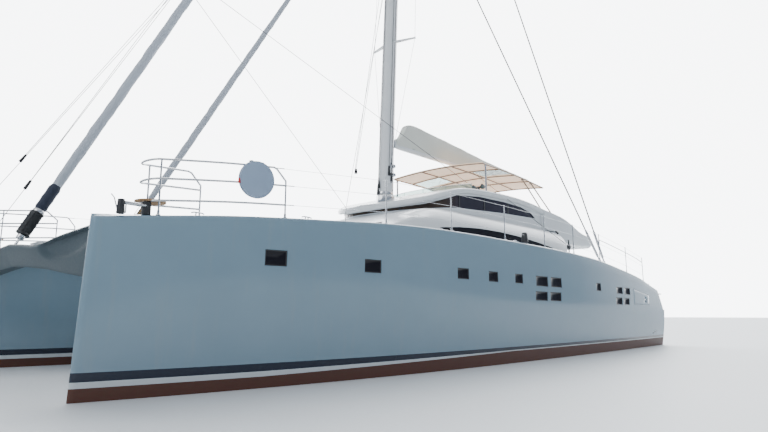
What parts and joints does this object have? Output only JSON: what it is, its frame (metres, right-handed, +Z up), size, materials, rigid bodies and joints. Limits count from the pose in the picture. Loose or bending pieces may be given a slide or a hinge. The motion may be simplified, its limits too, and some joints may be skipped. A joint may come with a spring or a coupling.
{
  "type": "sailing catamaran",
  "caption": "Cruising sailing catamaran afloat: decked hulls, saloon and deckhouse, upper helm deck under a canopy, raked mast, furled sails, boom, rudders and propellers.",
  "frame": {"origin": "on the waterline, on the centreline, half way along the hulls", "axes": "+X forward, +Y to port, +Z up"},
  "size_m": [31, 13.544, 38.6],
  "materials": {
    "gelcoat": "gloss",
    "white": "gloss",
    "antifouling": "matt",
    "dark_glass": "tinted",
    "clear_glass": "clear",
    "steel": "polished",
    "mast_paint": "satin",
    "bronze": "satin",
    "black": "matt",
    "furled_sail": "woven",
    "cover_cloth": "woven",
    "canopy_cloth": "woven",
    "teak": "oiled",
    "net": "netting",
    "cushion": "woven",
    "rod": "satin"
  },
  "bodies": {
    "platform": {"port_hull": "gelcoat", "starboard_hull": "gelcoat", "port_keel": "antifouling", "starboard_keel": "antifouling", "port_shaft_bracket": "bronze", "starboard_shaft_bracket": "bronze", "port_trampoline": "net", "starboard_trampoline": "net", "port_side_glass": "dark_glass", "starboard_side_glass": "dark_glass", "port_pulpit": "steel", "starboard_pulpit": "steel", "port_lifeline": "steel", "starboard_lifeline": "steel", "port_shrouds": "rod", "starboard_shrouds": "rod", "port_helm_console": "white", "starboard_helm_console": "white", "bridge_deck": "gelcoat", "foredeck": "white", "bow_beam": "gelcoat", "catwalk": "white", "saloon_shell": "white", "saloon_front_glass": "dark_glass", "deckhouse_shell": "white", "deckhouse_glass": "dark_glass", "upper_deck": "white", "stairs": "white", "mast_step": "steel", "mast": "mast_paint", "headsail_drum": "black", "furled_headsail": "furled_sail", "staysail_drum": "black", "furled_staysail": "furled_sail", "gooseneck": "steel", "canopy_frame": "steel", "canopy": "canopy_cloth", "upper_seats": "cushion", "cockpit_sofa": "cushion", "cockpit_table": "teak", "lifebuoy_case": "white", "windlass": "steel", "searchlights": "black", "windscreen": "clear_glass"},
    "port_rudder": {"port_rudder": "antifouling"},
    "port_propeller": {"port_propeller": "bronze"},
    "port_wheel": {"port_helm_wheel": "steel"},
    "port_door": {"port_door_leaf": "steel", "port_door_glass": "dark_glass"},
    "port_lid": {"port_foredeck_lid": "white"},
    "port_boarding_door": {"port_boarding_door": "gelcoat"},
    "starboard_rudder": {"starboard_rudder": "antifouling"},
    "starboard_propeller": {"starboard_propeller": "bronze"},
    "starboard_wheel": {"starboard_helm_wheel": "steel"},
    "starboard_door": {"starboard_door_leaf": "steel", "starboard_door_glass": "dark_glass"},
    "starboard_lid": {"starboard_foredeck_lid": "white"},
    "starboard_boarding_door": {"starboard_boarding_door": "gelcoat"},
    "boom": {"boom": "mast_paint", "sail_cover": "cover_cloth"}
  },
  "joints": [
    {"name": "boom_swing", "type": "hinge", "parent": "platform", "child": "boom", "pos_m": [-0.12706, 0, 9.32], "axis": [-0.0455, 0, 0.999], "range_deg": [-35, 35]},
    {"name": "port_rudder_turn", "type": "hinge", "parent": "platform", "child": "port_rudder", "pos_m": [-13.35, 5.1, -1], "axis": [0, 0, 1], "range_deg": [-35, 35]},
    {"name": "starboard_rudder_turn", "type": "hinge", "parent": "platform", "child": "starboard_rudder", "pos_m": [-13.35, -5.1, -1], "axis": [0, 0, 1], "range_deg": [-35, 35]},
    {"name": "port_wheel_turn", "type": "hinge", "parent": "platform", "child": "port_wheel", "pos_m": [-3.6, 1.65, 6.9], "axis": [0.9397, 0, -0.342], "range_deg": [-350, 350]},
    {"name": "starboard_wheel_turn", "type": "hinge", "parent": "platform", "child": "starboard_wheel", "pos_m": [-3.6, -1.65, 6.9], "axis": [0.9397, 0, -0.342], "range_deg": [-350, 350]},
    {"name": "port_propeller_spin", "type": "hinge", "parent": "platform", "child": "port_propeller", "pos_m": [-12.45, 5.1, -1.17], "axis": [0.9976, 0, 0.0698], "continuous": true},
    {"name": "starboard_propeller_spin", "type": "hinge", "parent": "platform", "child": "starboard_propeller", "pos_m": [-12.45, -5.1, -1.17], "axis": [0.9976, 0, 0.0698], "continuous": true},
    {"name": "port_door_slide", "type": "slide", "parent": "platform", "child": "port_door", "axis": [0, 1, 0], "range_m": [0, 1.45]},
    {"name": "starboard_door_slide", "type": "slide", "parent": "platform", "child": "starboard_door", "axis": [0, -1, 0], "range_m": [0, 1.45]},
    {"name": "port_lid_lift", "type": "hinge", "parent": "platform", "child": "port_lid", "pos_m": [7.092, 1.3, 3.96], "axis": [0, 1, 0], "range_deg": [0, 90]},
    {"name": "starboard_lid_lift", "type": "hinge", "parent": "platform", "child": "starboard_lid", "pos_m": [7.092, -1.3, 3.96], "axis": [0, 1, 0], "range_deg": [0, 90]},
    {"name": "port_boarding_door_fold", "type": "hinge", "parent": "platform", "child": "port_boarding_door", "pos_m": [-11.75, 6.662, 2.115], "axis": [-0.9998, -0.0181, 0], "range_deg": [0, 90]},
    {"name": "starboard_boarding_door_fold", "type": "hinge", "parent": "platform", "child": "starboard_boarding_door", "pos_m": [-11.75, -6.662, 2.115], "axis": [0.9998, -0.0181, 0], "range_deg": [0, 90]}
  ],
  "couplings": [
    {"joint": "starboard_rudder_turn", "follows": "port_rudder_turn", "ratio": 1},
    {"joint": "port_wheel_turn", "follows": "port_rudder_turn", "ratio": 10},
    {"joint": "starboard_wheel_turn", "follows": "port_rudder_turn", "ratio": 10}
  ]
}
